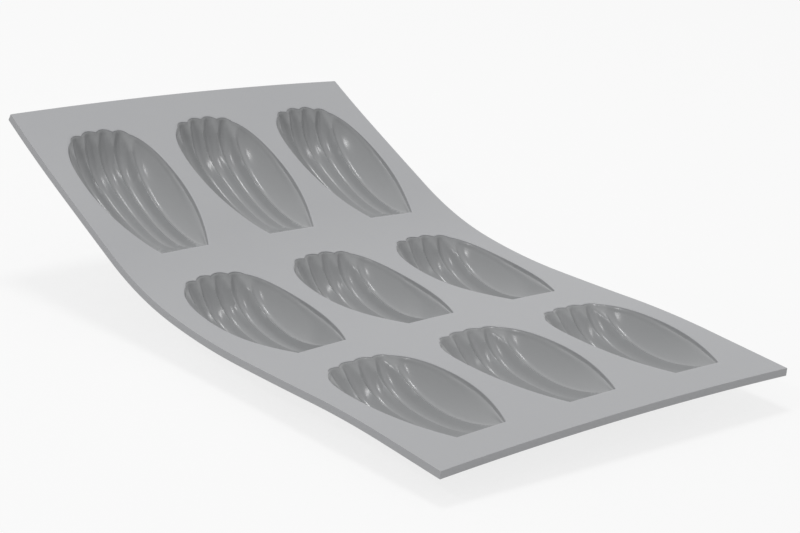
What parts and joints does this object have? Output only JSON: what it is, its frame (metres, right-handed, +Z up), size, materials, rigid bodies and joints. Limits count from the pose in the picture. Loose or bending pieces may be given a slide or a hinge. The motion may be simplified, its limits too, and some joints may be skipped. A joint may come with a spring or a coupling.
{
  "type": "madeleine mould",
  "caption": "Flexible silicone baking mould with rows of shell-shaped cups, lying in a shallow curve; the sheet bends between the rows.",
  "frame": {"origin": "on the surface it rests on, below the middle of the sheet", "axes": "+X across the sheet, +Y from the near end towards the raised far end, +Z up"},
  "size_m": [0.1766, 0.2934, 0.0699],
  "materials": {
    "sheet_silicone": "satin light grey silicone",
    "cup_silicone": "slightly glossier grey silicone"
  },
  "bodies": {
    "near_row": {"near_row_panel": "sheet_silicone", "cup_near_left": "cup_silicone", "cup_near_centre": "cup_silicone", "cup_near_right": "cup_silicone"},
    "middle_row": {"middle_row_panel": "sheet_silicone", "near_flex_web": "sheet_silicone", "far_flex_web": "sheet_silicone", "cup_middle_left": "cup_silicone", "cup_middle_centre": "cup_silicone", "cup_middle_right": "cup_silicone"},
    "far_row": {"far_row_panel": "sheet_silicone", "cup_far_left": "cup_silicone", "cup_far_centre": "cup_silicone", "cup_far_right": "cup_silicone"}
  },
  "joints": [
    {"name": "near_flex", "type": "hinge", "parent": "middle_row", "child": "near_row", "pos_m": [0, -0.04429, 0.01697], "axis": [1, 0, 0], "range_deg": [-60, 40], "deforming": ["near_flex_web"]},
    {"name": "far_flex", "type": "hinge", "parent": "middle_row", "child": "far_row", "pos_m": [0, 0.05049, 0.02388], "axis": [1, 0, 0], "range_deg": [-55, 45], "deforming": ["far_flex_web"]}
  ]
}
